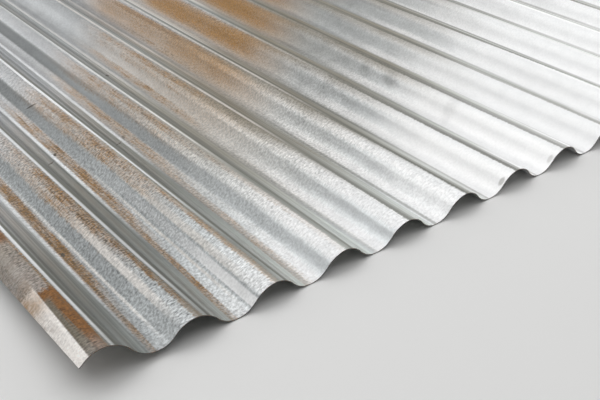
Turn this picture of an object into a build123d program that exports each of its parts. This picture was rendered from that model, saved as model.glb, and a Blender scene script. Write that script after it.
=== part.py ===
from build123d import *
from math import atan, sin, sqrt
import os

# The wave, measured on the middle of the metal
pitch = 76.0
wave_depth = 19.0
crest_count = 14

# The stock that the wave is rolled into
sheet_length = 2000.0
metal_thickness = 0.75
edge_run = 23.0  # from each outer crest, down its flank, to the sheet's side edge

# The near left corner has sprung up: it rises most at the corner and dies away smoothly
corner_rise = 19.0
rise_across = 145.0
rise_along = 450.0
rise_sections = 6

# Each crest and valley is one arc, and neighbouring arcs meet on a common tangent
quarter = pitch / 4
arc_radius = quarter / sin(2 * atan(wave_depth / 2 / quarter))
arc_centre = wave_depth / 2 - arc_radius
least_arc = 0.001

# Places in the sheet's frame: centred on the plan, standing on the valleys' undersides
half_width = (crest_count - 1) * pitch / 2 + edge_run
first_crest = edge_run - half_width
near_end = -sheet_length / 2
far_end = sheet_length / 2
middle_height = (wave_depth + metal_thickness) / 2


def rise_at(x, y):
    """How far the sprung corner lifts the metal at a place on the plan."""
    across = max(0.0, 1 - (x + half_width) / rise_across)
    along = max(0.0, 1 - (y - near_end) / rise_along)
    return corner_rise * across**2 * along**2


def wave_arcs():
    """The wave's arcs from left to right, each as its centre, its side and its span.

    The side is 1 for a crest and -1 for a valley, and the span runs from the centre.
    """
    arcs = []
    for number in range(-2, 2 * crest_count + 1):
        centre = first_crest + number * pitch / 2
        start = max(-quarter, -half_width - centre)
        end = min(quarter, half_width - centre)
        if end - start > least_arc:
            arcs.append((centre, (-1) ** number, start, end))
    return arcs


def surface_point(arc, offset, shift, y):
    """A point on an arc, moved out from the middle of the metal by a shift along its normal."""
    centre, side = arc[:2]
    radius = arc_radius + side * shift
    reach = sqrt(arc_radius**2 - offset**2) / arc_radius
    x = centre + radius * offset / arc_radius
    z = middle_height + side * (arc_centre + radius * reach)
    return (x, y, z + rise_at(centre + offset, y))


def face_line(arcs, shift, y):
    """One face of the metal from side to side, as tangent arcs."""
    line = []
    for arc in arcs:
        start, end = arc[2:]
        stations = (start, (start + end) / 2, end)
        line.append(ThreePointArc(*(surface_point(arc, s, shift, y) for s in stations)))
    return line


def section(arcs, y):
    """The cut through the metal at one place along the sheet."""
    top = face_line(arcs, metal_thickness / 2, y)
    underside = face_line(arcs, -metal_thickness / 2, y)
    left_edge = Line(underside[0] @ 0, top[0] @ 0)
    right_edge = Line(top[-1] @ 1, underside[-1] @ 1)
    return Face(Wire(top + [right_edge] + underside + [left_edge]))


def corrugated_sheet():
    """Straight waves, with the raised ones at the near left lofted down to them."""
    arcs = wave_arcs()
    raised = [arc for arc in arcs if arc[0] + arc[2] < rise_across - half_width]
    level = arcs[len(raised):]
    step = rise_along / (rise_sections - 1)
    straight = near_end + rise_along
    corner = loft([section(raised, near_end + i * step) for i in range(rise_sections)])
    beside = extrude(section(level, near_end), amount=rise_along, dir=(0, 1, 0))
    beyond = extrude(section(arcs, straight), amount=far_end - straight, dir=(0, 1, 0))
    return corner + beside + beyond


sheet = corrugated_sheet()

os.makedirs("parts", exist_ok=True)
export_step(sheet, "parts/corrugated_sheet.step")
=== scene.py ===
import bpy
import math
import numpy as np
from bpy.props import FloatProperty, FloatVectorProperty, IntProperty, PointerProperty
from mathutils import Matrix, Vector
from types import SimpleNamespace


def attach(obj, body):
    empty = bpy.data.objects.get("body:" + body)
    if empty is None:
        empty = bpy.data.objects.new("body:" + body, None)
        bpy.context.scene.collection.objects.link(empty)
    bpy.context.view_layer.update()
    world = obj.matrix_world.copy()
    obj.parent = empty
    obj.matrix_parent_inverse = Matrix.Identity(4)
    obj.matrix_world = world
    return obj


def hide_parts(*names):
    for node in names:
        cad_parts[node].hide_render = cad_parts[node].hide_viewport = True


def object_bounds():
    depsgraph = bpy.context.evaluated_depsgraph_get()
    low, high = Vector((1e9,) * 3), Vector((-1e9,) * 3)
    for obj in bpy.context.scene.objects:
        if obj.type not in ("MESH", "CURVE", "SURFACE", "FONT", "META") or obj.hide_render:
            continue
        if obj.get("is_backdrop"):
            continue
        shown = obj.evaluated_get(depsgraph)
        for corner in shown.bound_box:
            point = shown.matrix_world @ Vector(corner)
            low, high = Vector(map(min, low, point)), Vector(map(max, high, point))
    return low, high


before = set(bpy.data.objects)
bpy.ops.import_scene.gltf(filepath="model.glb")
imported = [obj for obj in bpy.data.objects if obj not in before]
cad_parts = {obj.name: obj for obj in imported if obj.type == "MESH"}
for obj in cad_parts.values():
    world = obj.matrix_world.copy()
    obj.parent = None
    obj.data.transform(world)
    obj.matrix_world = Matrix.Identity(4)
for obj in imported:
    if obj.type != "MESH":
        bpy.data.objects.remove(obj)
CAD_LOW, CAD_HIGH = (Vector(corner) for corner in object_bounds())

bl_info = {
    "name": "Corrugated Steel Sheet",
    "version": (1, 0, 0),
    "blender": (4, 5, 0),
    "location": "3D View > Sidebar > Corrugated Sheet",
    "description": "Builds a weathered galvanised corrugated sheet and a plain stage for it",
    "category": "Add Mesh",
}

NODE = "corrugated_sheet"
PIECE = "rolled_sheet"
SLOT = "galvanised_steel"
MM = 0.001
PURE_WHITE = (1.0, 1.0, 1.0)

# The mesh columns of one wave. Each has its share of the pitch from the crest, and how far the metal
# stands off the smooth wave there, in millimetres: the rollers leave creases with flatter strips between
COLUMNS = (
    (0, 0), (0.022, 0.16), (0.044, 0), (0.075, 0), (0.12, 0), (0.17, 0), (0.22, 0),
    (0.27, 0), (0.32, 0), (0.37, 0), (0.41, 0), (0.432, 0), (0.45, 0.14), (0.468, 0),
    (0.5, 0.14), (0.545, 0.2), (0.58, 0.12), (0.604, 0), (0.62, 0.1), (0.638, 0), (0.67, 0.1),
    (0.71, 0.13), (0.75, 0.05), (0.772, 0), (0.79, -0.05), (0.83, -0.2), (0.875, -0.28), (0.925, -0.2),
    (0.965, -0.05),
)

# Mesh rows crowd towards the near end: 0 would space them evenly
ROW_CROWDING = 0.8
SHARP_ANGLE = 40.0

# The underside takes its grain this many metres away from the top face's, so the two differ
UNDERSIDE_SHIFT = 5.0

# Small marks in the zinc: crests from the first one, metres from the near end, turn in degrees,
# half length and half width in millimetres, and strength
MARKS = (
    (0.51, 0.164, 75, 3.4, 2.4, 1),
    (1.49, 0.342, 65, 4.4, 2, 1),
    (2.5, 0.333, 80, 5, 2, 0.6),
    (1.27, 0.314, 52, 22, 1, 0.92),
    (2.26, 0.308, 50, 26, 0.8, 0.92),
    (3.13, 0.458, 52, 5, 2.8, 1),
    (1.763, 0.447, -41, 11, 1.2, 0.92),
    (5.76, 0.004, 0, 6, 3, 0.4),
    (6.76, 0.004, 0, 6, 3, 0.25),
)

# Soft grey clouds in the bloom, given like the marks
CLOUDS = (
    (6.74, 0.296, 60, 20, 12, 0.34),
    (6.77, 0.25, 75, 18, 12, 0.34),
    (6.76, 0.148, 20, 24, 10, 0.12),
    (4.7, 0.095, 85, 34, 7, 0.2),
)

# Where a mark and a cloud start and end to fade, as shares of their half sizes
MARK_FADE = (0.5, 1.1)
CLOUD_FADE = (0.1, 1.4)

# The line that runs along each crest: how far right of the crest it lies, as shares of the pitch, at four
# places along the sheet
LINE_PLACES = (0, 0.1, 0.25, 0.5)
CREST_LINES = (
    (0.06, 0.046, 0.04, 0.045),
    (0.1, 0.06, 0.038, 0.012),
    (0.1, 0.07, 0.045, -0.005),
    (0.05, 0.05, 0.02, -0.015),
    (0.04, 0.03, 0.01, -0.015),
    (0.045, 0.02, 0, -0.02),
    (-0.012, -0.03, -0.04, -0.05),
    (-0.012, -0.03, -0.045, -0.05),
    (-0.008, -0.008, -0.025, -0.045),
    (0.08, 0.07, 0.005, -0.05),
    (0.11, 0.11, 0.09, 0.05),
    (0.1, 0.1, 0.09, 0.05),
    (0, -0.01, 0, 0.02),
)

# The flanks are dusky some way along: waves, metres from the near end, and strengths
DUSK_WAVES = (0.9, 1.2, 2.2, 3.2, 4.2, 5.2, 6.2, 7.2, 8.35, 8.8)
DUSK_PLACES = (0.16, 0.17, 0.22, 0.27, 0.34, 0.27, 0.15, 0.14, 0.2, 0.2)
DUSK_STRENGTHS = (0, 1, 1, 1, 0.9, 1.2, 2.4, 0.3, 2.4, 0)

# Grain from the size of a spangle up to that of a hand: how tight it is across the flat sheet, along it
# and through it, its detail and its roughness
GRAINS = {
    "grain": ((350, 400, 1), 2, 0.6),
    "sand": ((420, 560, 1), 2, 0.6),
    "drawn": ((420, 22, 1), 2, 0.6),
    "flecks": ((240, 560, 1), 1, 0.6),
    "strokes": ((110, 600, 1), 2, 0.6),
    "streak": ((300, 1, 1), 2, 0.6),
    "blotch": ((70, 45, 1), 4, 0.6),
    "smudge": ((45, 38, 1), 4, 0.65),
    "cloud": ((16, 7, 1), 4, 0.6),
    "wander": ((9, 5, 1), 2, 0.5),
}
SPANGLES = (260, 320, 1)
SHEAR_MARKS = ((900, 900, 300), 3, 0.6)

# Strips along each wave that follow straight runs between stops. First the kind of place that they are
# measured by, then each stop: its place, from 0 at a crest to 1 at the next, and the strip's strength
SHAPED_STRIPS = {
    "facing": ("straight", {0: 0.4, 0.03: 0, 0.4: 0, 0.47: 1, 0.96: 1, 1: 0.4}),
    # The pale crest and valley lines below are partly rubbed zinc and partly painted highlight
    "narrow_line": ("crest", {0: 1, 0.008: 1, 0.019: 0, 0.979: 0, 0.992: 1, 1: 1}),
    "wide_line": ("crest", {0: 1, 0.01: 1, 0.023: 0, 0.973: 0, 0.987: 1, 1: 1}),
    "valley_lines": ("straight", {0.396: 0, 0.431: 0.9, 0.455: 0.9, 0.483: 0}),
    # The shade line, dark crest, shoulder and dark valley strips place painted shade beside the crests and
    # along the valleys
    "shade_line": ("crest", {0.018: 0, 0.03: 1, 0.055: 0.9, 0.09: 0}),
    "dark_crest": ("crest_ragged", {0: 1, 0.02: 1, 0.04: 0.2, 0.08: 0, 0.965: 0, 0.98: 1}),
    "shoulder": ("crest_ragged", {0.93: 0, 0.955: 0.25, 0.97: 0.45, 0.985: 0}),
    "dark_valley": ("valley", {0.46: 0, 0.485: 1, 0.505: 1, 0.53: 0}),
    # Painted shade beside the crests
    "beside_crest": ("crest", {0.03: 0, 0.06: 0.2, 0.12: 0.12, 0.25: 0}),
    "crest_side": ("ragged", {0: 0.3, 0.76: 0.35, 0.86: 1, 0.98: 1}),
    "pale": ("soft_sided", {
        0.622: 0, 0.638: 0.85, 0.65: 0.85, 0.668: 0, 0.785: 0, 0.8: 1, 0.86: 0.9, 0.89: 0,
    }),
    "lobes": ("ragged", {
        0: 0.5, 0.03: 0, 0.47: 0, 0.52: 1, 0.62: 1, 0.67: 0.12, 0.79: 0.12, 0.83: 1, 0.97: 1,
    }),
    "flank": ("straight", {0: 0.6, 0.05: 0.45, 0.22: 0.45, 0.28: 1, 0.36: 1, 0.42: 0.3}),
    # Painted light: where the bloom is painted pure white, in the middles of the steep flanks that get less
    # light
    "heart": ("straight", {0.26: 0, 0.34: 1, 0.44: 1, 0.48: 0, 0.56: 0, 0.65: 1, 0.85: 1, 0.92: 0}),
    "film": ("ragged", {0: 1, 0.4: 0.9, 0.47: 0.6, 0.52: 0.35, 0.6: 0.2, 0.8: 0.2, 0.87: 0.7, 0.97: 1}),
    "lower_stain": ("lower", {0.47: 0, 0.51: 0.4, 0.55: 1, 0.63: 1, 0.66: 0}),
    "lower_line": ("lower", {0.485: 0, 0.5: 1, 0.57: 1, 0.59: 0}),
    "upper_stain": ("upper", {0.73: 0, 0.77: 0.8, 0.82: 0.8, 0.84: 0.6, 0.87: 1, 0.94: 1, 0.975: 0}),
    "upper_line": ("upper", {0.89: 0, 0.91: 1, 0.965: 1, 0.985: 0}),
    "core_stain": ("ragged", {0.36: 0, 0.48: 0.25, 0.6: 0.8, 0.68: 1, 0.82: 1, 0.89: 0.8, 0.96: 0}),
    "late_stain": ("ragged", {0.81: 0, 0.84: 1, 0.91: 1, 0.94: 0}),
}

# Plain strips: the kind of place, where they start and end, and how soft their sides are
PLAIN_STRIPS = {
    "clear_core": ("soft_sided", 0.645, 0.785, 0.014),
    # Painted shade in the cores far along the sheet
    "far_core_shade": ("soft_sided", 0.64, 0.775, 0.022),
    "rub": ("soft_sided", 0.785, 0.865, 0.014),
    "light_shoulder": ("ragged", 0.83, 0.94, 0.04),
    "haze": ("ragged", 0.5, 0.95, 0.04),
    "murk": ("ragged", 0.58, 0.89, 0.035),
    "matt": ("ragged", 0.6, 0.88, 0.045),
    # Painted shade that dims the lamps' glint on the right waves far along
    "painted_glint_shade": ("straight", 0.79, 0.85, 0.02),
    "valley_glow": ("straight", 0.31, 0.51, 0.06),
    "late_flank": ("straight", 0.23, 0.49, 0.03),
    "lip": ("straight", -0.1, 0.53, 0.03),
    "dust": ("straight", 0.03, 0.47, 0.03),
    "dusk": ("straight", 0.07, 0.46, 0.03),
    # Painted shade: the gloom darkens one wave far along
    "gloom": ("straight", -0.1, 0.65, 0.04),
}

# Roughness of bright metal and of dull zinc, and the strength and height of the grain's bumps
BRIGHT_ROUGHNESS = 0.28
DULL_ROUGHNESS = 0.6
BUMP_STRENGTH = 0.15
BUMP_HEIGHT = 0.3 * MM

# The studio's soft boxes: name, place, target, size and power
SOFT_BOXES = (
    ("overhead_far", (0.1, 0.8, 3), (0.1, 0.8, 0), (6, 2.4), 70),
    ("overhead_near", (-1, -1.6, 3), (-1, -1.6, 0), (4, 2.4), 22),
    ("overhead_right", (2, -1.6, 3), (2, -1.6, 0), (2, 2.4), 14),
    ("right_far", (3.4, 1.2, 1.4), (0, -0.4, 0.1), (1.4, 2.4), 13.5),
    ("right_near", (3.4, -0.9, 1.4), (0, -0.9, 0.1), (2.4, 2.4), 20),
    ("left_far", (-3.2, 1.6, 1.4), (0, -0.4, 0.1), (2.4, 2), 7.5),
    ("left_near", (-3.2, -0.9, 1.4), (0, -0.9, 0.1), (2, 2), 8),
    ("left_high", (-2.8, 0.2, 2.5), (0, -0.4, 0.1), (2.4, 1.4), 3.5),
    ("back_low", (-1, 4.2, 1.3), (-0.2, -0.2, 0), (3.4, 1.5), 10.5),
    ("back_right", (2.2, 3.4, 1.3), (-0.2, -0.2, 0), (2.4, 1.5), 2.5),
    ("back_high", (-0.4, 4.2, 2.9), (-0.2, -0.2, 0), (5, 1.5), 5.6),
)
FLOOR_SIZE = 40.0
FLOOR_ROUGHNESS = 0.9

# The camera's place in metres, and how far it turns right, looks down and rolls, in degrees
CAMERA_PLACE = (-0.6854, -1.4666, 0.4648)
CAMERA_TURN = (38.32, 32.194, -0.509)
SENSOR_WIDTH = 36
CLIP_START = 0.01


def length(name, default, text):
    """A length in metres, given in millimetres."""
    return FloatProperty(name=name, default=default * MM, description=text, unit="LENGTH", precision=5)


def share(name, default, text):
    """A strength from 0 to 1."""
    return FloatProperty(name=name, default=default, description=text, subtype="FACTOR", min=0, max=1)


def colour(name, default, text):
    """A plain colour, as linear red, green and blue."""
    return FloatVectorProperty(
        name=name, default=default, description=text, subtype="COLOR", min=0, max=1, size=3
    )


class SheetSizes(bpy.types.PropertyGroup):
    """The rolled wave and the stock, at real size."""

    pitch: length("Pitch", 76.0, "Distance from crest to crest")
    wave_depth: length("Wave depth", 19.0, "Height of a crest over a valley, on the middle of the metal")
    thickness: length("Thickness", 0.75, "Thickness of the metal")
    edge_run: length("Edge run", 23.0, "From an outer crest down its flank to the side edge")
    corner_rise: length("Corner rise", 18.5, "How far the near left corner has sprung up")
    rise_across: length("Rise across", 145.0, "How far across the sheet the sprung corner reaches")
    rise_along: length("Rise along", 450.0, "How far along the sheet the sprung corner reaches")
    sway: length("Sway", 0.12, "How far the flanks wander off straight")
    crest_count: IntProperty(name="Crests", default=14, min=2, description="Crests across the sheet")
    row_count: IntProperty(name="Rows", default=118, min=8, description="Mesh rows along the sheet")
    crease: FloatProperty(
        name="Crease", default=1.0, min=0, max=2, description="Strength of the rollers' creases"
    )


class ZincColours(bpy.types.PropertyGroup):
    """The colours of the coating and of what has stained it, and of the painted highlight and painted shade
    lines.
    """

    plain: colour("Plain zinc", (0.56, 0.585, 0.555), "Smooth zinc of the flanks that stayed clean")
    zinc: colour("Zinc", (0.62, 0.65, 0.66), "Spangled zinc")
    clean: colour("Clean zinc", (0.88, 0.90, 0.92), "Bright zinc beyond the stains")
    bare: colour("Bare zinc", (1.0, 0.965, 0.925), "Bright patch outside the first crest")
    worn: colour("Worn zinc", (0.80, 0.76, 0.71), "Paler strips where sheets have rubbed")
    bloom: colour("Bloom", (0.88, 0.885, 0.89), "White zinc bloom")
    # Painted highlight: the crest colour is partly rubbed zinc and partly a painted highlight along the
    # crests and valleys
    crest: colour("Crest lines", (0.97, 0.985, 1.0), "Rubbed pale lines along the crests and valleys")
    # Painted shade: the shade colour paints the dark lines beside the crests and valleys, over dull zinc
    # lines
    shade: colour("Shaded lines", (0.17, 0.17, 0.145), "Dull dark lines beside the crests")
    veil: colour("Veil", (0.36, 0.30, 0.255), "Pinkish veil outside the first crest")
    film: colour("Film", (0.24, 0.21, 0.155), "Thin warm film of dirt")
    stain: colour("Stain", (0.39, 0.21, 0.065), "Brown stain")
    rust: colour("Rust", (0.30, 0.125, 0.025), "Orange rust")
    grains: colour("Stain grains", (0.19, 0.11, 0.045), "Darker grains in the stain")
    specks: colour("Dark specks", (0.11, 0.09, 0.07), "Dark specks and marks")
    cut_steel: colour("Cut steel", (0.10, 0.10, 0.105), "Sheared edge of the metal")


class Weathering(bpy.types.PropertyGroup):
    """How strongly the sheet has weathered."""

    stain: share("Stain", 0.95, "Strength of the brown stain")
    bloom: share("Bloom", 0.95, "Strength of the white bloom")
    film: share("Film", 0.9, "Strength of the film of dirt")
    speckle: share("Speckle", 0.8, "Strength of the specks in the zinc")
    marks: share("Marks", 1.0, "Strength of the dots and scratches")


class StageSettings(bpy.types.PropertyGroup):
    """Floor, light and camera."""

    floor: colour("Floor", (0.82, 0.82, 0.815), "Plain pale floor")
    world: colour("World", (0.12, 0.119, 0.116), "Light from all round")
    level: FloatProperty(name="Light level", default=1.1, min=0, description="Strength of all lamps together")
    lens: FloatProperty(
        name="Lens", default=52.98, description="Focal length in millimetres on a 36 mm sensor"
    )


def sizes():
    return bpy.context.scene.sheet_sizes


def bell(value, middle, reach):
    """A soft hump: 1 in the middle, and about a third of that one reach away."""
    return np.exp(-(((value - middle) / reach) ** 2))


def rise(value, start, end):
    """A smooth rise from 0 at the start to 1 at the end."""
    t = np.clip((value - start) / (end - start), 0, 1)
    return t * t * (3 - 2 * t)


def fall(value, start, end):
    """A smooth fall from 1 at the start to 0 at the end."""
    return 1 - rise(value, start, end)


class Wave:
    """The sheet's section: tangent arcs from side to side, on the middle of the metal."""

    def __init__(self, size):
        self.size = size
        quarter = size.pitch / 4
        radius = quarter / math.sin(2 * math.atan(size.wave_depth / 2 / quarter))
        self.half_width = (size.crest_count - 1) * size.pitch / 2 + size.edge_run
        self.first_crest = size.edge_run - self.half_width
        self.middle = (size.wave_depth + size.thickness) / 2
        run = size.edge_run / size.pitch
        last = size.crest_count - 1
        stations = [(wave + place, relief) for wave in range(-1, last + 1) for place, relief in COLUMNS]
        inside = [pair for pair in stations if 0.01 - run < pair[0] < last + run - 0.01]
        stations = [(-run, 0.0)] + inside + [(last + run, 0.0)]
        self.phase = np.array([place for place, _ in stations])
        relief = np.array([relief for _, relief in stations])
        self.relief = relief * MM * size.crease * (1 - 0.7 * rise(self.phase, 4.5, 6.5))
        self.across = self.first_crest + self.phase * size.pitch
        arc = np.round(self.phase * 2)
        offset = self.across - self.first_crest - arc * size.pitch / 2
        side = np.where(arc % 2 == 0, 1.0, -1.0)
        angle = np.arcsin(offset / radius)
        self.height = side * (size.wave_depth / 2 - radius + radius * np.cos(angle))
        self.normal = side * np.sin(angle), np.cos(angle)
        half_arc = math.asin(quarter / radius)
        self.developed = radius * (2 * half_arc * arc + angle)

    def lift(self, y):
        """The sprung corner's lift at every column, for rows at y."""
        size = self.size
        across = np.clip(1 - (self.across[None, :] + self.half_width) / size.rise_across, 0, None)
        along = np.clip(1 - (y[:, None] - CAD_LOW.y) / size.rise_along, 0, None)
        return size.corner_rise * across**2 * along**2

    def sway(self, y):
        """How far the flanks wander: none at crests, valleys and side edges, so the sheet keeps its box."""
        steep = np.sin(2 * math.pi * self.phase) ** 2
        edge = np.clip((self.half_width - np.abs(self.across)) / self.size.edge_run, 0, 1)
        turn = self.phase[None, :] * 5.3
        reach = y[:, None]
        wander = np.sin(reach * 31 + turn)
        wander = wander + 0.6 * np.sin(reach * 67 - 1.7 * turn)
        wander = wander + 0.4 * np.sin(reach * 13 + 2.9 * turn)
        return self.size.sway * steep * edge * wander

    def face(self, y, shift):
        """Points of one face of the metal, rows by columns, moved out along the normal."""
        out = self.relief + self.sway(y) + shift
        grid = np.empty((len(y), len(self.across), 3))
        grid[:, :, 0] = self.across + self.normal[0] * out
        grid[:, :, 1] = y[:, None]
        grid[:, :, 2] = self.middle + self.height + self.normal[1] * out + self.lift(y)
        return grid


def row_places():
    """Mesh rows along the sheet, close together at the near end and further apart at the far end."""
    t = np.linspace(0, 1, sizes().row_count)
    crowded = (t + ROW_CROWDING * t**2) / (1 + ROW_CROWDING)
    return CAD_LOW.y + (CAD_HIGH.y - CAD_LOW.y) * crowded


# In the formulas that follow, phase counts waves from the first crest, and along is in metres from the
# near end. Each share is at every mesh row and column

def right_side(phase):
    """1 on the right waves, where the stain is fainter and less even."""
    return rise(phase, 7.9, 8.9)


def damp_start(phase):
    """Where the damp's slanting front starts on a wave, in metres from the near end."""
    return 0.07 * phase - 0.01


def damp_end(phase):
    """Where the damp ends on a wave, in metres from the near end."""
    start = damp_start(phase)
    return start + 0.28 + 0.08 * bell(phase, 4.7, 0.4) + 0.07 * right_side(phase) * np.sin(2.4 * phase)


def stain_shares(phase, along):
    """Brown stain: in two bands on the facing flanks of the left waves, all over them further right."""
    start = damp_start(phase)
    end = damp_end(phase)
    damp = rise(along, start, start + 0.12) * fall(along, end, end + 0.14)
    damp = damp * (0.8 + 0.2 * bell(along, start + 0.2, 0.1)) + 0.7 * bell(along, start + 1.1, 0.2)
    weaker_right = np.clip(1 - 0.13 * phase, 0.6, 1)
    weaker_outside = np.where(phase < 0, 0.3, 1)
    line_end = 0.26 + 0.16 * rise(phase, 1.1, 1.4)
    edge_line = 0.8 * (0.6 + 0.4 * rise(along, 0, 0.07)) * fall(phase, 0.8, 4)
    core_start = start - 0.07 + 0.06 * right_side(phase) * np.sin(4.1 * phase)
    core_damp = rise(along, core_start, core_start + 0.16) * fall(along, end, end + 0.14)
    uneven_right = 1 - right_side(phase) * (0.4 + 0.25 * np.sin(1.9 * phase))
    late_damp = rise(along, start + 0.06, start + 0.2) * fall(along, end - 0.02, end + 0.12)
    rub_place = 0.27 + 0.1 * np.clip(phase - 3.8, 0, None)
    rubbed_waves = bell(phase, 3.85, 1.9) * rise(phase, 2, 2.6) * fall(phase, 5, 5.6)
    return {
        "edge_stain": damp * weaker_right * weaker_outside,
        "upper_stain": 1 - 0.45 * rise(along, 0.2, 0.3) * fall(phase, 0.8, 1.6),
        "edge_line": edge_line * fall(along, line_end, line_end + 0.12) * weaker_outside,
        "core_stain": core_damp * rise(phase, 2.6, 5.7) * uneven_right,
        "late_stain": late_damp * bell(phase, 4.55, 0.8),
        "rub": rubbed_waves * bell(along, rub_place, 0.09),
    }


def bloom_shares(phase, along):
    """White bloom on the near side of the damp's front, and clean bright zinc beyond it."""
    near_crest = phase % 1 > 0.76
    lobe_end = 0.05 * phase - 0.06 - 0.06 * fall(phase, 2.5, 3.2)
    lobe_end = lobe_end + 0.06 * near_crest * rise(phase, 2.5, 3.5)
    middle_end = 0.065 * (phase - 3.6) - 0.04 - 0.08 * rise(phase, 7.5, 9)
    middle_fade = middle_end + 0.14 + 0.14 * rise(phase, 8, 10.5)
    flank_end = 0.03 * (phase - 4) + np.where(phase % 1 > 0.22, 0.03, -0.03)
    fewer_right = 1 - 0.7 * rise(phase, 7.5, 8.5)
    far_flank_end = 0.31 + 0.05 * (phase - 9)
    late_start = 0.16 * (phase - 8.35) + 0.05
    late_end = late_start + 0.33
    clean_start = 0.16 + 0.06 * phase - 0.08 * (phase < 0.42)
    clean_waves = 1 - 0.45 * rise(phase, 2.95, 3.1) + 0.25 * bell(phase, 4.7, 0.35)
    lip_waves = rise(phase, 5.7, 6.1) * fall(phase, 8.6, 8.9)
    matt_start = 0.12 + 0.1 * rise(phase, 4.3, 4.8)
    return {
        "lobes": fall(along, lobe_end, lobe_end + 0.14) * rise(phase, -0.4, 2.4),
        "middle": fall(along, middle_end, middle_fade) * rise(phase, 3.2, 5.4),
        "flank": fall(along, flank_end, flank_end + 0.1) * rise(phase, 4.4, 6.4) * fewer_right,
        "far_flank": fall(along, far_flank_end, far_flank_end + 0.14) * rise(phase, 8.55, 9.1),
        "late_flank": rise(along, late_start, late_start + 0.12) * fall(along, late_end, late_end + 0.12),
        "lip": 0.95 * fall(along, 0.035, 0.08) * lip_waves,
        "cream": bell(phase, 3.8, 1.4) * bell(along, 0.12 + 0.05 * phase, 0.15),
        "pale": rise(along, 0, 0.06) * fall(along, 0.14, 0.36) * fall(phase, 1.2, 3),
        "clean": rise(along, clean_start, clean_start + 0.24) * clean_waves,
        "clear_core": 1 - rise(phase, 2.8, 3.8),
        "valley_glow": 0.75 * rise(along, 0.35, 0.7) * bell(phase, 2.45, 0.9),
        "matt": rise(phase, 2.9, 3.4) * rise(along, matt_start, matt_start + 0.1) * fall(along, 0.5, 0.6),
    }


def dirt_shares(phase, along):
    """The film of dirt, dust on the far flanks, and the veil outside the first crest."""
    film_start = np.maximum(0.065 * (phase - 5) + 0.02, 0.03) - 0.05 * rise(phase, 6, 7)
    film_end = damp_end(phase) - 0.03 - 0.07 * bell(phase, 5.4, 0.9)
    film = rise(along, film_start, film_start + 0.2) * fall(along, film_end - 0.2, film_end)
    dust_start = 0.13 * (phase - 5.2) + 0.36
    less_dust = 1 - 0.75 * rise(along, 0.85, 1.35)
    hazy_waves = bell(phase, 6.6, 0.6) + 0.35 * bell(phase, 8.4, 0.8)
    return {
        "film": np.where(phase < 0, 0, film * rise(phase, 1.8, 4)),
        "haze": bell(along, 0.42 + 0.06 * (phase - 6.7), 0.08) * hazy_waves,
        "dust": rise(along, dust_start, dust_start + 0.15) * rise(phase, 3.8, 5.1) * less_dust,
        "outside": np.where(phase < 0, 1, 0),
    }


def line_shares(phase, along):
    """Lines along the crests and valleys, and how far they drift to the right."""
    start = 0.055 * phase - 0.1 + 0.06 * rise(phase, 1.5, 2.5) - 0.06 * rise(phase, 3.2, 4)
    lines = rise(along, start, start + 0.18) * (1 - 0.25 * rise(phase, 1.5, 2.5))
    lines = lines * (1 - 0.5 * rise(along, 0.45, 0.62) * bell(phase, 2.6, 0.8))
    valley_start = 0.14 * phase - 0.1 - 0.07 * np.clip(phase - 2.4, 0, None)
    valley_start = valley_start - 0.06 * bell(phase, 2.45, 0.4)
    valley_lines = rise(along, valley_start, valley_start + 0.2) * (1 - 0.3 * rise(along, 0.3, 0.5))
    brighter_near = 1 - 0.75 * rise(phase, 6.2, 8.6) * fall(along, 0.1, 0.3)
    far_start = 0.1 * (phase - 9)
    drifts = np.array([np.interp(along[:, 0], LINE_PLACES, line) for line in CREST_LINES])
    crest = np.clip(np.round(phase[0]), 0, len(CREST_LINES) - 1).astype(int)
    # The lines share places the pale lines, partly painted highlight; the dull and far valley shares place
    # the dark lines of painted shade
    return {
        "lines": lines,
        "valley_lines": valley_lines,
        "dull": rise(phase, 2.2, 4.6) * brighter_near,
        "far_valley": rise(phase, 8.6, 9.4) * (0.5 + 0.5 * rise(along, far_start, far_start + 0.25)),
        "drift": drifts[crest].T,
        "valley_drift": 0.035 * np.clip(phase - 7.5, 0, 4) - 0.065 * bell(phase, 6.2, 0.9),
    }


def tone_shares(phase, along):
    """Soft darker places, and how coarse the spangle looks. The far cores, the near corner, the gloom and the
    glint shares are painted shade.
    """
    # Painted shade in the cores far along
    early_core = rise(along, 0.24, 0.58)
    later_core = 0.45 * rise(along, 0.15, 0.3) + 0.55 * rise(along, 0.42, 0.66)
    far_core_shade = np.where(phase < 1.9, early_core, later_core) * fall(phase, 2.9, 3.6)
    dusk_place = np.interp(phase, DUSK_WAVES, DUSK_PLACES)
    dusk = bell(along, dusk_place, 0.1) * np.interp(phase, DUSK_WAVES, DUSK_STRENGTHS)
    # Painted shade on the facing flanks near the near left corner
    corner_end = np.where(phase < 0.42, 0.28, 0.4)
    coarse = 1.25 - 0.45 * rise(phase, 1, 3) + 0.1 * bell(phase, 5, 1) - 0.45 * rise(phase, 5, 8.5)
    coarse = 0.95 * coarse * (1 - 0.68 * fall(along, 0.12, 0.3) * rise(phase, 4.6, 5.6))
    front = 0.04 * (phase - 3)
    coarse = coarse * (1 - 0.55 * fall(along, front, front + 0.15) * rise(phase, 1, 3))
    coarse = coarse * (1 - 0.6 * rise(along, 0.25, 0.5) * bell(phase, 3.4, 2.2))
    return {
        "far_core_shade": far_core_shade,
        "murk": bell(along, 0.28 + 0.075 * (phase - 5.7), 0.1) * rise(phase, 5, 5.6),
        "dusk": dusk,
        # Painted shade: the gloom on one wave far along
        "gloom": 0.3 * bell(phase, 4.35, 0.35) * rise(along, 0.5, 0.65),
        # Painted shade over the lamps' glint
        "painted_glint_shade": rise(phase, 6.6, 8.6) * rise(along, 0.3, 0.46),
        "corner": fall(phase, 0.4, 3) * fall(along, 0.05, corner_end),
        "coarse": coarse,
    }


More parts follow.
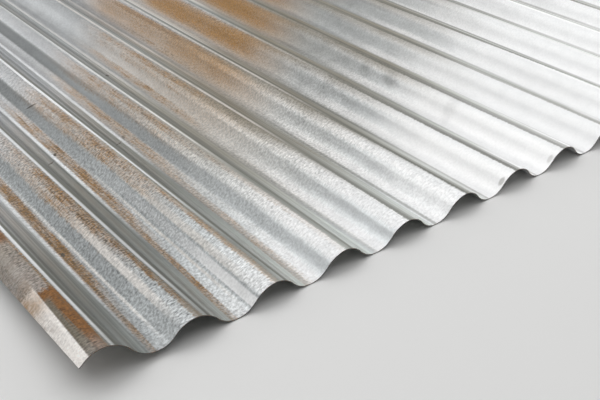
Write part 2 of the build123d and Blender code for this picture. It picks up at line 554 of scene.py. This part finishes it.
def weathering(wave, y):
    """How strong each kind of weathering, painted shade and painted highlight is at every row and column.

    Where sheets lay stacked, damp crept in and stained them along a slanting front. The zinc bloomed
    white on the near side of the front, most of all far from the first crest, and stayed bright beyond.
    """
    phase = wave.phase[None, :] + 0 * y[:, None]
    along = y[:, None] - CAD_LOW.y + 0 * phase
    shares = {}
    for kind in (stain_shares, bloom_shares, dirt_shares, line_shares, tone_shares):
        shares.update(kind(phase, along))
    return shares


def sheet_mesh():
    """The rolled sheet as one closed mesh, and which of its faces are cut edges."""
    size = sizes()
    wave = Wave(size)
    y = row_places()
    rows, columns = len(y), len(wave.across)
    count = rows * columns
    faces_of_metal = [wave.face(y, side * size.thickness / 2).reshape(-1, 3) for side in (1, -1)]
    points = np.concatenate(faces_of_metal)
    points[:, 0] = np.clip(points[:, 0], CAD_LOW.x, CAD_HIGH.x)
    index = np.arange(count).reshape(rows, columns)

    def quads(grid):
        return np.stack([grid[:-1, :-1], grid[:-1, 1:], grid[1:, 1:], grid[1:, :-1]], -1).reshape(-1, 4)

    def edge(line):
        return np.stack([line[1:], line[:-1], line[:-1] + count, line[1:] + count], -1)

    broad = np.concatenate([quads(index), quads(index)[:, ::-1] + count])
    cut = np.concatenate([edge(index[0]), edge(index[-1, ::-1]), edge(index[::-1, 0]), edge(index[:, -1])])
    mesh = bpy.data.meshes.new(PIECE)
    mesh.from_pydata(points.tolist(), [], np.concatenate([broad, cut]).tolist())
    mesh.validate()
    values = {name: np.tile(value.ravel(), 2) for name, value in weathering(wave, y).items()}
    values["wave"] = np.tile(wave.phase, rows * 2)
    values["developed"] = np.tile(wave.developed, rows * 2) + np.repeat([0.0, UNDERSIDE_SHIFT], count)
    for name, value in values.items():
        attribute = mesh.attributes.new(name, "FLOAT", "POINT")
        attribute.data.foreach_set("value", value.astype(np.float32))
    mesh.polygons.foreach_set("use_smooth", np.ones(len(mesh.polygons), bool))
    kind = np.zeros(len(mesh.polygons), np.int32)
    kind[len(broad):] = 1
    mesh.set_sharp_from_angle(angle=math.radians(SHARP_ANGLE))
    mesh.update()
    return mesh, kind


class Number:
    """A number in a shader, which adds and multiplies like a plain one."""

    def __init__(self, painter, socket):
        self.painter = painter
        self.socket = socket

    def __add__(self, other):
        return self.painter.math("ADD", self, other)

    def __sub__(self, other):
        return self.painter.math("SUBTRACT", self, other)

    def __rsub__(self, other):
        return self.painter.math("SUBTRACT", other, self)

    def __mul__(self, other):
        return self.painter.math("MULTIPLY", self, other)

    def spread(self, low, high, to_low=0.0, to_high=1.0, kind="SMOOTHSTEP"):
        """Carries the range from low to high to another range, and stays within that."""
        inputs = {"Value": self, "From Min": low, "From Max": high, "To Min": to_low, "To Max": to_high}
        return self.painter.number("MapRange", inputs, "Result", interpolation_type=kind)

    def vary(self, low, high):
        """Carries soft noise, which mostly lies from 0.3 to 0.7, to another range."""
        return self.spread(0.3, 0.7, low, high)

    def between(self, low, high, soft):
        """1 between two values, with soft sides."""
        return self.spread(low - soft, low + soft) * self.spread(high + soft, high - soft)

    def turn(self):
        """The place within one wave, from 0 at its crest to 1 at the next."""
        return self.painter.math("FRACT", self + 10.0)

    def ramp(self, stops):
        """Follows straight runs between the stops, given as places and heights."""
        node = self.painter.add("ValToRGB", {"Fac": self})
        ladder = node.color_ramp
        while len(ladder.elements) < len(stops):
            ladder.elements.new(0.5)
        for element, (place, height) in zip(ladder.elements, stops.items()):
            element.position = place
            element.color = (height, height, height, 1)
        return Number(self.painter, node.outputs["Color"])


class Painter:
    """Puts shader nodes together for one material."""

    def __init__(self, name):
        self.material = bpy.data.materials.new(name)
        self.material.use_nodes = True
        self.tree = self.material.node_tree
        self.shader = self.tree.nodes["Principled BSDF"]

    def put(self, socket, value):
        """Gives a socket a link or a plain value."""
        if isinstance(value, Number):
            value = value.socket
        if isinstance(value, bpy.types.NodeSocket):
            self.tree.links.new(value, socket)
        else:
            socket.default_value = value

    def add(self, kind, inputs, **settings):
        node = self.tree.nodes.new("ShaderNode" + kind)
        for name, value in settings.items():
            setattr(node, name, value)
        for place, value in inputs.items():
            self.put(node.inputs[place], value)
        return node

    def number(self, kind, inputs, output, **settings):
        """The number that a new node gives."""
        return Number(self, self.add(kind, inputs, **settings).outputs[output])

    def math(self, operation, *values, clamp=False):
        inputs = dict(enumerate(values))
        return self.number("Math", inputs, 0, operation=operation, use_clamp=clamp)

    def most(self, first, *others):
        """The highest of two or more numbers."""
        for other in others:
            first = self.math("MAXIMUM", first, other)
        return first

    def attribute(self, name):
        """A number that the mesh has at each of its points."""
        return self.number("Attribute", {}, "Fac", attribute_name=name)

    def mix(self, share, *colours):
        """A blend of two colours, each a link or a plain colour."""
        first, second = (c if isinstance(c, bpy.types.NodeSocket) else (*c, 1) for c in colours)
        inputs = {"Factor": share, 6: first, 7: second}
        return self.add("Mix", inputs, data_type="RGBA").outputs[2]

    def blend(self, share, first, second):
        """A blend of two numbers."""
        return self.number("Mix", {0: share, 2: first, 3: second}, 0, data_type="FLOAT")

    def stretched(self, vector, stretch):
        return self.add("VectorMath", {0: vector, 1: stretch}, operation="MULTIPLY").outputs[0]

    def noise(self, vector, stretch, detail, roughness):
        """Soft noise in the range from 0 to 1."""
        vector = self.stretched(vector, stretch)
        inputs = {"Vector": vector, "Scale": 1.0, "Detail": detail, "Roughness": roughness}
        return self.number("TexNoise", inputs, "Fac")

    def cells(self, vector, stretch):
        """Two random numbers for each spangle."""
        inputs = {"Vector": self.stretched(vector, stretch), "Scale": 1.0}
        node = self.add("TexVoronoi", inputs, feature="F1")
        split = self.add("SeparateColor", {"Color": node.outputs["Color"]})
        return Number(self, split.outputs["Red"]), Number(self, split.outputs["Green"])


class ZincPainter(Painter):
    """Paints spangled zinc with white bloom, brown stain, and pale and dark lines along the waves. The pale
    lines are partly painted highlight, the dark lines and some soft darker places are painted shade, and the
    pure white middles of the bloomed flanks are painted light.
    """

    def __init__(self):
        super().__init__(SLOT)
        self.colours = bpy.context.scene.zinc_colours
        self.amount = bpy.context.scene.weathering
        position = self.add("NewGeometry", {}).outputs["Position"]
        along = self.number("SeparateXYZ", {"Vector": position}, "Y")
        flat = {"X": self.attribute("developed"), "Y": along}
        self.flat = self.add("CombineXYZ", flat).outputs["Vector"]
        self.distance = along - CAD_LOW.y
        self.wave = self.attribute("wave")
        self.grain = SimpleNamespace(**{name: self.noise(self.flat, *kind) for name, kind in GRAINS.items()})
        self.spangle, self.tilt = self.cells(self.flat, SPANGLES)
        self.place = self.places_in_wave()
        self.facing = self.strip("facing")

    def places_in_wave(self):
        """Places within one wave, from 0 at its crest to 1 at the next.

        The stains wander a little along the sheet, their sides are feathered across the wave, and the
        crest's lines drift off it.
        """
        drift = self.attribute("drift")
        wander = self.grain.wander.spread(0, 1, -0.03, 0.03, "LINEAR")
        feather = wander + self.grain.strokes.spread(0, 1, -0.06, 0.06, "LINEAR")
        feathered = self.wave + feather
        barely_feathered = self.wave + feather * 0.35
        drifted = self.wave - drift
        return SimpleNamespace(
            straight=self.wave.turn(),
            ragged=feathered.turn(),
            soft_sided=barely_feathered.turn(),
            crest=drifted.turn(),
            crest_ragged=(drifted + feather * 0.4).turn(),
            valley=(self.wave - self.attribute("valley_drift")).turn(),
            lower=(barely_feathered + drift * 0.8).turn(),
            upper=(feathered - drift * 0.9).turn(),
        )

    def strip(self, name):
        """A strip along each wave, from one of the two tables."""
        if name in PLAIN_STRIPS:
            place, *sides = PLAIN_STRIPS[name]
            return getattr(self.place, place).between(*sides)
        place, stops = SHAPED_STRIPS[name]
        return getattr(self.place, place).ramp(stops)

    def laid(self, name):
        """A strip along each wave, as strong as the mesh's attribute of the same name."""
        return self.attribute(name) * self.strip(name)

    def lay(self, share, colour):
        """Covers the colours so far with another one, as strongly as the share says."""
        self.base = self.mix(share, self.base, colour)

    def ovals(self, group, fade):
        """Ovals that fade between two shares of their half sizes, together as one share."""
        section = Wave(sizes())
        together = 0
        for crests, metres, turn, half_length, half_width, strength in group:
            spot = self.add("Mapping", {
                "Vector": self.flat,
                "Location": (np.interp(crests, section.phase, section.developed), CAD_LOW.y + metres, 0),
                "Rotation": (0, 0, math.radians(turn)),
                "Scale": (half_length * MM, half_width * MM, 1),
            }, vector_type="TEXTURE").outputs[0]
            away = self.number("VectorMath", {0: spot}, "Value", operation="LENGTH")
            together = self.most(together, away.spread(*fade, strength, 0))
        return together

    def coat(self):
        """Zinc, dull or clean, with pale rubbed strips, and white bloom and dust over it. The bloom is
        painted pure white in the middles of the steep flanks, as painted light.
        """
        colours = self.colours
        grain = self.grain
        self.clear_core = self.laid("clear_core")
        clean = self.attribute("clean") * (1 - self.clear_core)
        clean = self.most(clean, self.laid("valley_glow"))
        self.pale = self.laid("pale") * grain.drawn.spread(0.3, 0.6, 0.8, 1)
        rubbed = self.mix(self.wave.spread(1, 1.2), colours.bare, colours.worn)
        zinc = self.mix(self.facing, colours.plain, colours.zinc)
        zinc = self.mix(clean, zinc, colours.clean)
        zinc = self.mix(self.pale, zinc, rubbed)

        self.late_flank = self.laid("late_flank") * self.wave.spread(7.8, 8, 0, 0.75)
        far_flank = self.attribute("far_flank") * self.place.straight.spread(0.18, 0.27)
        middle = self.attribute("middle") * self.facing
        white = self.most(self.laid("lobes"), middle, self.laid("flank"), far_flank)
        white *= 1 - self.late_flank
        white = self.most(white, self.laid("lip"))
        patchy = grain.blotch.spread(0.25, 0.55, 0.75, 1)
        full = self.most(patchy, self.wave.spread(4.6, 5.3, 0, 0.97))
        self.white = white * full * self.amount.bloom
        # Painted light: pure white bloom where the steep flanks get less light
        whitest_painted_light = self.wave.spread(4.3, 4.9) * self.wave.spread(7.6, 6.9, 0.3, 1)
        whitest_painted_light = self.strip("heart") * whitest_painted_light
        self.base = self.mix(self.white, zinc, self.mix(whitest_painted_light, colours.bloom, PURE_WHITE))

        cream = self.attribute("cream") * grain.sand.spread(0.3, 0.65, 0.25, 0.75)
        self.cream = cream * (self.facing - self.clear_core * 0.8)
        self.lay(self.cream, colours.worn)
        self.dust = self.laid("dust")
        self.lay(self.dust * 0.6, colours.worn)

    def soil(self):
        """A thin film of dirt."""
        shoulder = self.strip("light_shoulder") * self.distance.spread(0.24, 0.14)
        shoulder *= self.wave.spread(3.2, 4.2, 0.3, 0.65)
        film = self.attribute("film") * (self.strip("film") * (1 - shoulder))
        film *= self.grain.cloud.vary(0.8, 1.1)
        film = self.most(film, self.late_flank * 0.8)
        self.film = self.math("MULTIPLY", film, self.amount.film, clamp=True)
        self.lay(self.film, self.colours.film)
        self.lay(self.laid("haze") * 0.25, self.colours.film)

    def stain(self):
        """Brown stain with darker grains and a little grime in it."""
        colours = self.colours
        grain = self.grain
        self.rub = self.laid("rub")
        keep_off = self.pale * self.distance.spread(0.13, 0.24, 0.9, 0.1)
        keep_off = self.most(keep_off, self.rub * 0.5)
        bands = self.most(self.strip("lower_stain"), self.laid("upper_stain"), self.attribute("outside"))
        edges = self.attribute("edge_stain") * bands * (1 - keep_off)
        edge_lines = self.most(self.strip("lower_line"), self.strip("upper_line"))
        edges = self.most(edges, self.attribute("edge_line") * edge_lines)
        edges *= grain.blotch.vary(0.75, 1.2)
        edges *= grain.drawn.vary(0.75, 1.25)
        late = self.laid("late_stain")
        core = self.most(self.laid("core_stain"), late)
        wet = self.most(edges, core) * grain.cloud.vary(0.85, 1.1)
        sandy = self.wave.spread(2, 5, 1.15, 0.5) * grain.sand.spread(0.34, 0.66, -0.38, 0.3)
        wet *= sandy + 1
        self.brown = self.math("MULTIPLY", wet, self.amount.stain, clamp=True)
        self.lay(self.brown, colours.stain)
        freckle = self.most(edges, late) - grain.sand.spread(0.25, 0.75, 0, 1.3, "LINEAR")
        self.freckle = freckle.spread(0, 0.5, 0, 0.7)
        self.lay(self.freckle, colours.grains)
        grime = edges * grain.flecks.spread(0.5, 0.38, 0, 0.6)
        self.lay(grime, colours.specks)

    def veil_outside(self):
        """A pinkish veil of dirt outside the first crest."""
        colours = self.colours
        outside = self.attribute("outside")
        self.veil = outside * self.grain.blotch.vary(0.6, 0.9)
        rubbed = self.mix(self.grain.strokes.spread(0.3, 0.7), colours.veil, colours.worn)
        self.lay(self.veil, self.mix(0.22, colours.veil, rubbed))
        grubby = outside * self.distance.spread(0.12, 0.165, 0, 0.3)
        self.lay(grubby, colours.film)

    def bare_corner(self):
        """The bright bare patch at the near left corner, brown at its far end, and a spot of rust."""
        colours = self.colours
        grain = self.grain
        self.skewed = self.wave - self.distance * 0.37
        self.frayed = self.distance + grain.sand.vary(-0.004, 0.004)
        end = self.frayed.between(-1, 0.105, 0.004)
        self.bare = self.skewed.between(-0.5, -0.19, 0.008) * end
        self.bare *= grain.sand.spread(0.3, 0.6, 0.85, 1)
        blotchy = grain.blotch.spread(0.4, 0.6, 0, 0.45)
        dusky = blotchy + grain.strokes.spread(0.38, 0.62, 0, 0.4)
        dusky *= self.skewed.spread(-0.2, -0.34, 0.2, 1)
        dusky *= self.distance.spread(0.01, 0.07, 0.15, 1.1)
        self.lay(self.bare, self.mix(dusky, colours.bare, colours.veil))
        spot = self.wave.between(-0.09, 0.012, 0.015)
        spot *= self.distance.between(0.185, 0.205, 0.008)
        self.lay(spot * 0.8, colours.rust)
        tip = self.skewed.between(-0.5, -0.19, 0.02)
        tip *= self.distance.between(0.08, 0.108, 0.022)
        tip *= grain.blotch.vary(0.4, 0.85)
        self.lay(tip, colours.stain)

    def bright_strip(self):
        """A narrow bright strip in the second wave."""
        self.strip_place = self.wave.between(1.69, 1.77, 0.008)
        fading = self.strip_place * self.distance.spread(0.36, 0.1, 0, 0.45)
        self.lay(fading, self.colours.bloom)
        bright_end = self.strip_place * self.distance.spread(0.13, 0.05)
        self.bright = self.most(self.bare, bright_end)
        self.lay(bright_end, self.colours.bloom)

    def rusty_corner(self):
        """The rusty patch between the bare one and the first crest."""
        colours = self.colours
        grain = self.grain
        end = self.frayed.between(-1, 0.097, 0.003)
        rust = self.skewed.between(-0.185, 0.01, 0.008) * end
        rust *= self.wave.spread(0.026, 0.01)
        self.rust = rust * self.distance.spread(0, 0.03, 0.4, 1)
        tone = self.wave.spread(-0.15, -0.04) + grain.drawn.vary(-0.3, 0.3)
        tone += grain.sand.vary(-0.12, 0.12)
        tone = self.most(tone, self.distance.spread(0.075, 0.092))
        rusty = self.mix(tone.spread(0.1, 0.9), colours.film, colours.rust)
        rusty = self.mix(grain.sand.spread(0.45, 0.3, 0, 0.3), rusty, colours.specks)
        self.lay(self.rust, rusty)

    def lines(self):
        """Lines along crests and valleys: pale further along, partly rubbed zinc and partly painted
        highlight, and dark before that, painted shade over dull zinc.
        """
        colours = self.colours
        pale_part = self.attribute("lines")
        # Painted shade: dark lines beside the crests and along the valleys, over dull zinc lines
        dark_part = self.attribute("dull") * (1 - pale_part)
        dark_crest = self.strip("dark_crest") + self.strip("shoulder") * self.wave.spread(5.7, 5.3)
        dark_valley = self.strip("dark_valley")
        dark = dark_part * self.most(dark_crest, dark_valley * 0.6)
        shaded = self.strip("shade_line") * self.wave.spread(2.8, 3.4, 1, 0.65)
        far_valley = self.attribute("far_valley") * dark_valley
        far_crest = self.wave.spread(7.3, 8.2) * dark_crest
        dark = self.most(dark * 0.85, shaded, far_valley * 0.7)
        self.painted_shade_lines = self.most(dark, far_crest * 0.7)
        self.lay(self.painted_shade_lines, colours.shade)

        # Pale lines: partly rubbed zinc, partly painted highlight
        narrow = self.wave.spread(1.4, 1.6) * self.wave.spread(3.6, 3.4)
        crest_line = self.blend(narrow, self.strip("wide_line"), self.strip("narrow_line"))
        valley_line = self.laid("valley_lines")
        pale = self.most(pale_part * crest_line, valley_line * 0.85)
        pale *= self.grain.strokes.spread(0.3, 0.6, 0.85, 1.03)
        patchy = self.grain.blotch.spread(0.35, 0.55, 0.87, 1.05)
        pale = self.math("MULTIPLY", pale, patchy, clamp=True)
        self.rubbed_lines_and_highlights = pale * self.wave.spread(4.4, 7.4, 1, 0.08)
        line_colour = self.mix(self.wave.spread(2, 4), colours.crest, colours.worn)
        self.lay(self.rubbed_lines_and_highlights, line_colour)

    def specks(self):
        """Specks and spangle on the facing flanks and fine lines on the plain ones, as light and dark."""
        grain = self.grain
        contrast = self.attribute("coarse") * self.facing * self.amount.speckle
        smooth = self.most(self.pale * 0.8, self.bright)
        self.contrast = contrast * (1 - smooth * 0.7)
        crest_side = self.contrast * self.strip("crest_side")
        coarse = self.contrast * grain.grain.spread(0.32, 0.68, -0.3, 0.27)
        across = crest_side * grain.flecks.spread(0.34, 0.66, -0.3, 0.26)
        sparkle = self.contrast * self.spangle.spread(0, 1, -0.1, 0.08, "LINEAR")
        settled = self.white * self.wave.spread(4.6, 5.6, 0, 0.7)
        mottle = self.facing * grain.blotch.vary(-0.05, 0.05)
        mottle *= 1 - settled
        fine = (1 - self.facing) * self.wave.spread(2, 4, 0.22, 0.3)
        fine *= grain.streak.vary(-1, 1)
        tone = coarse + across + (sparkle + 1)
        return tone + (mottle + fine)

    def shadows(self):
        """Soft darker places, each as the share of brightness that it takes away: painted shade in the near
        corner, beside the crests, in the far cores, in the gloom and over the lamps' glint, and darker flanks
        some way along, a dark edge beside the bright strip, and grey murk and clouds.
        """
        light_core = self.clear_core * self.distance.spread(0.05, 0.1, 0.6, 0.1)
        # Painted shade: the facing flanks darken near the near left corner
        corner = self.attribute("corner") * self.facing.spread(0, 1, 0.36, 0.28)
        corner *= 1 - self.most(self.bright, light_core)
        # Painted shade beside the crests and in the cores far along
        beside_crest = self.strip("beside_crest") * self.attribute("clear_core")
        beside_crest = self.most(beside_crest, self.laid("far_core_shade") * 0.5)
        # Darker flanks some way along, and painted shade in the gloom
        dusk = self.most(self.laid("dusk") * 0.15, self.laid("gloom"))
        beside_strip = self.wave.between(1.67, 1.79, 0.008) - self.strip_place
        beside_strip *= self.distance.spread(0.08, 0.03, 0, 0.18)
        # Painted shade over the lamps' glint on the right waves far along
        painted_glint_shade = self.laid("painted_glint_shade") * 0.3
        clouds = self.ovals(CLOUDS, CLOUD_FADE) * self.grain.smudge.vary(0.5, 1.3)
        murk = self.laid("murk") * self.grain.smudge.spread(0.35, 0.65, 0.12, 0.26)
        return corner, beside_crest, dusk, beside_strip, painted_glint_shade, self.most(murk, clouds)

    def dullness(self):
        """How far the bright metal has turned dull."""
        dull = self.most(
            self.white * self.facing.spread(0, 1, 0.25, 0.6),
            self.brown * 0.9,
            self.most(self.pale, self.cream) * 0.7,
            self.most(self.film, self.veil) * 0.8,
            self.dust * 0.5,
            self.laid("matt") * 0.78,
            self.rubbed_lines_and_highlights,
            self.painted_shade_lines,
            self.bright * 0.8,
            self.rust,
            self.freckle,
        )
        return self.math("MAXIMUM", dull, self.marks, clamp=True)

    def paint(self):
        """Lays all layers over each other and sets the shader."""
        self.coat()
        self.soil()
        self.stain()
        self.veil_outside()
        self.bare_corner()
        self.bright_strip()
        self.rusty_corner()
        self.lines()
        self.marks = self.ovals(MARKS, MARK_FADE) * self.amount.marks
        self.lay(self.marks, self.colours.specks)
        tone = self.specks()
        for shadow in self.shadows():
            tone *= 1 - shadow
        tone *= self.rub * 0.28 + 1
        shaded = self.add("VectorMath", {0: self.base, 1: tone}, operation="MULTIPLY")
        self.put(self.shader.inputs["Base Color"], shaded.outputs[0])

        dull = self.dullness()
        self.put(self.shader.inputs["Metallic"], 1 - dull)
        rough = self.blend(dull, BRIGHT_ROUGHNESS, DULL_ROUGHNESS)
        rough += self.facing * self.tilt.spread(0, 1, 0, 0.05, "LINEAR")
        rough += self.grain.cloud.vary(0, 0.03)
        self.put(self.shader.inputs["Roughness"], rough)

        height = self.grain.grain * self.contrast
        inputs = {"Strength": BUMP_STRENGTH, "Distance": BUMP_HEIGHT, "Height": height}
        bump = self.add("Bump", inputs).outputs["Normal"]
        self.put(self.shader.inputs["Normal"], bump)
        return self.material


def cut_material():
    """The sheared edge: dark bare steel with fine shear marks."""
    colours = bpy.context.scene.zinc_colours
    painter = Painter("cut_steel_edge")
    place = painter.add("NewGeometry", {}).outputs["Position"]
    marks = painter.noise(place, *SHEAR_MARKS)
    base = painter.mix(marks.spread(0.45, 0.75), colours.cut_steel, colours.stain)
    painter.put(painter.shader.inputs["Base Color"], base)
    painter.put(painter.shader.inputs["Metallic"], 0.7)
    painter.put(painter.shader.inputs["Roughness"], marks.spread(0.2, 0.8, 0.35, 0.6))
    return painter.material


class OBJECT_OT_add_rolled_sheet(bpy.types.Operator):
    """Build the rolled sheet and give it its zinc finish"""

    bl_idname = "object.add_rolled_sheet"
    bl_label = "Rolled Sheet"

    def execute(self, context):
        mesh, kind = sheet_mesh()
        sheet = bpy.data.objects.new(PIECE, mesh)
        context.scene.collection.objects.link(sheet)
        mesh.materials.append(ZincPainter().paint())
        mesh.materials.append(cut_material())
        mesh.polygons.foreach_set("material_index", kind)
        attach(sheet, "root")
        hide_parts(NODE)
        return {"FINISHED"}


def plain_material(name, value, roughness):
    """An even matt colour, for the floor."""
    material = bpy.data.materials.new(name)
    material.use_nodes = True
    shader = material.node_tree.nodes["Principled BSDF"]
    shader.inputs["Base Color"].default_value = (*value, 1)
    shader.inputs["Roughness"].default_value = roughness
    return material


def add_soft_box(name, place, target, size, power):
    """A rectangular area lamp that looks from its place to a target."""
    lamp = bpy.data.lights.new(name, "AREA")
    lamp.shape = "RECTANGLE"
    lamp.size, lamp.size_y = size
    lamp.energy = power
    lamp_object = bpy.data.objects.new(name, lamp)
    lamp_object.location = place
    aim = Vector(target) - Vector(place)
    lamp_object.rotation_euler = aim.to_track_quat("-Z", "Y").to_euler()
    lamp_object.visible_camera = False
    bpy.context.scene.collection.objects.link(lamp_object)


def add_camera(lens):
    """The camera at the photograph's viewing angle."""
    data = bpy.data.cameras.new("camera")
    data.lens = lens
    data.sensor_width = SENSOR_WIDTH
    data.clip_start = CLIP_START
    camera = bpy.data.objects.new("camera", data)
    yaw, pitch, roll = (math.radians(angle) for angle in CAMERA_TURN)
    turn = Matrix.Rotation(-yaw, 4, "Z")
    turn = turn @ Matrix.Rotation(math.pi / 2 - pitch, 4, "X")
    turn = turn @ Matrix.Rotation(-roll, 4, "Z")
    camera.matrix_world = Matrix.Translation(CAMERA_PLACE) @ turn
    bpy.context.scene.collection.objects.link(camera)
    bpy.context.scene.camera = camera


class OBJECT_OT_add_sheet_stage(bpy.types.Operator):
    """Lay the floor and set the light and the camera"""

    bl_idname = "object.add_sheet_stage"
    bl_label = "Stage"

    def execute(self, context):
        stage = context.scene.stage_settings
        bpy.ops.mesh.primitive_plane_add(size=FLOOR_SIZE)
        floor = context.object
        floor.name = "floor"
        floor.data.materials.append(plain_material("pale_floor", stage.floor, FLOOR_ROUGHNESS))
        floor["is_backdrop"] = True
        for name, place, target, size, power in SOFT_BOXES:
            add_soft_box(name, place, target, size, power * stage.level)
        world = bpy.data.worlds.new("studio")
        context.scene.world = world
        world.use_nodes = True
        background = world.node_tree.nodes["Background"]
        background.inputs["Color"].default_value = (*stage.world, 1)
        background.inputs["Strength"].default_value = stage.level
        context.scene.view_settings.view_transform = "Standard"
        add_camera(stage.lens)
        return {"FINISHED"}


class VIEW3D_PT_corrugated_sheet(bpy.types.Panel):
    """Lists the pieces of the corrugated sheet"""

    bl_label = "Corrugated Sheet"
    bl_space_type = "VIEW_3D"
    bl_region_type = "UI"
    bl_category = "Corrugated Sheet"

    def draw(self, context):
        for operator in OPERATORS:
            self.layout.operator(operator.bl_idname)
        for group, kind in GROUPS:
            box = self.layout.box()
            for name in kind.__annotations__:
                box.prop(getattr(context.scene, group), name)


GROUPS = (
    ("sheet_sizes", SheetSizes),
    ("zinc_colours", ZincColours),
    ("weathering", Weathering),
    ("stage_settings", StageSettings),
)
OPERATORS = (OBJECT_OT_add_rolled_sheet, OBJECT_OT_add_sheet_stage)
CLASSES = (*(kind for _, kind in GROUPS), *OPERATORS, VIEW3D_PT_corrugated_sheet)


def register():
    for kind in CLASSES:
        bpy.utils.register_class(kind)
    for group, kind in GROUPS:
        setattr(bpy.types.Scene, group, PointerProperty(type=kind))


def unregister():
    for group, _ in GROUPS:
        delattr(bpy.types.Scene, group)
    for kind in reversed(CLASSES):
        bpy.utils.unregister_class(kind)


def main():
    register()
    bpy.ops.object.add_rolled_sheet()
    bpy.ops.object.add_sheet_stage()


if __name__ == "__main__":
    main()
